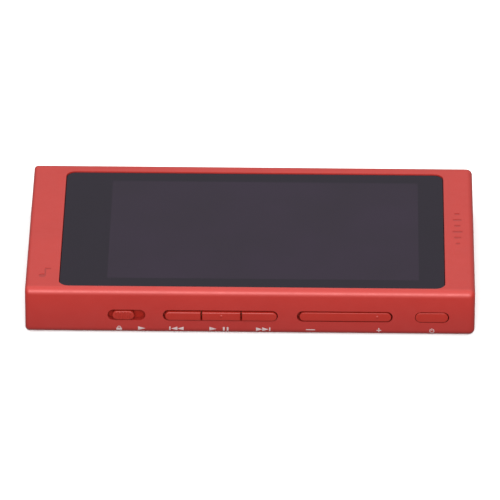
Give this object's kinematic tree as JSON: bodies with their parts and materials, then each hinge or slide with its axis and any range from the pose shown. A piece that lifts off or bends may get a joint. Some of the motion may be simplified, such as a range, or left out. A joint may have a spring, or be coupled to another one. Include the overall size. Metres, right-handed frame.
{
  "type": "digital audio player",
  "caption": "Slim touch-screen audio player: rounded metal case, glass front, side keys, hold slider and rocker, headphone jack, dock port and a hinged card cover.",
  "frame": {"origin": "centre of the flat back face", "axes": "+X along the length towards the top end, -Y towards the side with the keys, +Z out of the screen"},
  "size_m": [0.0974, 0.0562, 0.0109],
  "materials": {
    "case_metal": "satin anodised red",
    "case_plastic": "fine matt red",
    "key_plastic": "satin red",
    "lever_plastic": "dark red",
    "screen_glass": "polished",
    "black_print": "smooth",
    "display": "smooth",
    "foam_tape": "soft",
    "flex_film": "amber film",
    "chassis_metal": "stamped",
    "steel": "plated",
    "board": "solder mask",
    "black_plastic": "moulded",
    "chip_black": "moulded",
    "ceramic": "ceramic",
    "cell_foil": "laminated foil",
    "gold": "gold plated",
    "wire_red": "insulation",
    "ferrite": "ferrite sheet"
  },
  "bodies": {
    "housing": {"front_frame": "case_metal", "rear_cover": "case_plastic", "cover_screws": "steel", "cover_glass": "screen_glass", "mask_layer": "black_print", "glass_adhesive": "foam_tape", "touch_film": "display", "lcd_panel": "display", "lcd_backlight": "black_plastic", "lcd_cushion": "foam_tape", "lcd_flex": "flex_film", "touch_flex": "flex_film", "chassis_plate": "chassis_metal", "chassis_screws": "steel", "board_screws": "steel", "heat_spreader": "ferrite", "main_board": "board", "processor_can": "steel", "amplifier_can": "steel", "board_chips": "chip_black", "board_capacitors": "ceramic", "amplifier_coils": "ferrite", "board_crystals": "steel", "board_connectors": "black_plastic", "battery_cell": "cell_foil", "battery_board": "board", "battery_tape": "foam_tape", "battery_wires": "wire_red", "battery_socket": "black_plastic", "battery_plug": "black_plastic", "headphone_jack": "black_plastic", "jack_contacts": "gold", "jack_ring": "gold", "dock_shell": "steel", "dock_tongue": "black_plastic", "dock_contacts": "gold", "strap_post": "steel", "card_socket_base": "black_plastic", "card_socket": "steel", "card_contacts": "gold", "key_domes": "steel", "key_flex": "flex_film", "key_bracket": "steel", "bracket_screws": "steel", "hold_switch": "steel", "nfc_coil": "gold", "ferrite_sheet": "ferrite", "radio_antenna": "black_plastic", "antenna_cable": "black_plastic"},
    "previous_key": {"previous_key": "key_plastic"},
    "play_key": {"play_key": "key_plastic"},
    "next_key": {"next_key": "key_plastic"},
    "volume_key": {"volume_key": "key_plastic"},
    "power_key": {"power_key": "key_plastic"},
    "hold_slider": {"hold_knob": "key_plastic", "hold_lever": "lever_plastic", "switch_slider": "black_plastic"},
    "card_cover": {"card_cover": "case_plastic"}
  },
  "joints": [
    {"name": "previous_press", "type": "slide", "parent": "housing", "child": "previous_key", "axis": [0, 1, 0], "range_m": [0, 0.0002], "stiffness_N_per_m": 3000, "deforming": ["key_domes"]},
    {"name": "play_press", "type": "slide", "parent": "housing", "child": "play_key", "axis": [0, 1, 0], "range_m": [0, 0.0002], "stiffness_N_per_m": 3000, "deforming": ["key_domes"]},
    {"name": "next_press", "type": "slide", "parent": "housing", "child": "next_key", "axis": [0, 1, 0], "range_m": [0, 0.0002], "stiffness_N_per_m": 3000, "deforming": ["key_domes"]},
    {"name": "power_press", "type": "slide", "parent": "housing", "child": "power_key", "axis": [0, 1, 0], "range_m": [0, 0.0002], "stiffness_N_per_m": 3000, "deforming": ["key_domes"]},
    {"name": "volume_rock", "type": "hinge", "parent": "housing", "child": "volume_key", "pos_m": [0.02053, -0.0256, 0.0046], "axis": [0, 0, 1], "range_deg": [-1.4, 1.4], "stiffness_Nm_per_rad": 0.15, "deforming": ["key_domes"]},
    {"name": "hold_slide", "type": "slide", "parent": "housing", "child": "hold_slider", "axis": [1, 0, 0], "range_m": [0, 0.002]},
    {"name": "card_cover_hinge", "type": "hinge", "parent": "housing", "child": "card_cover", "pos_m": [-0.023, 0.0273, 0.0032], "axis": [-1, 0, 0], "range_deg": [0, 90]}
  ]
}
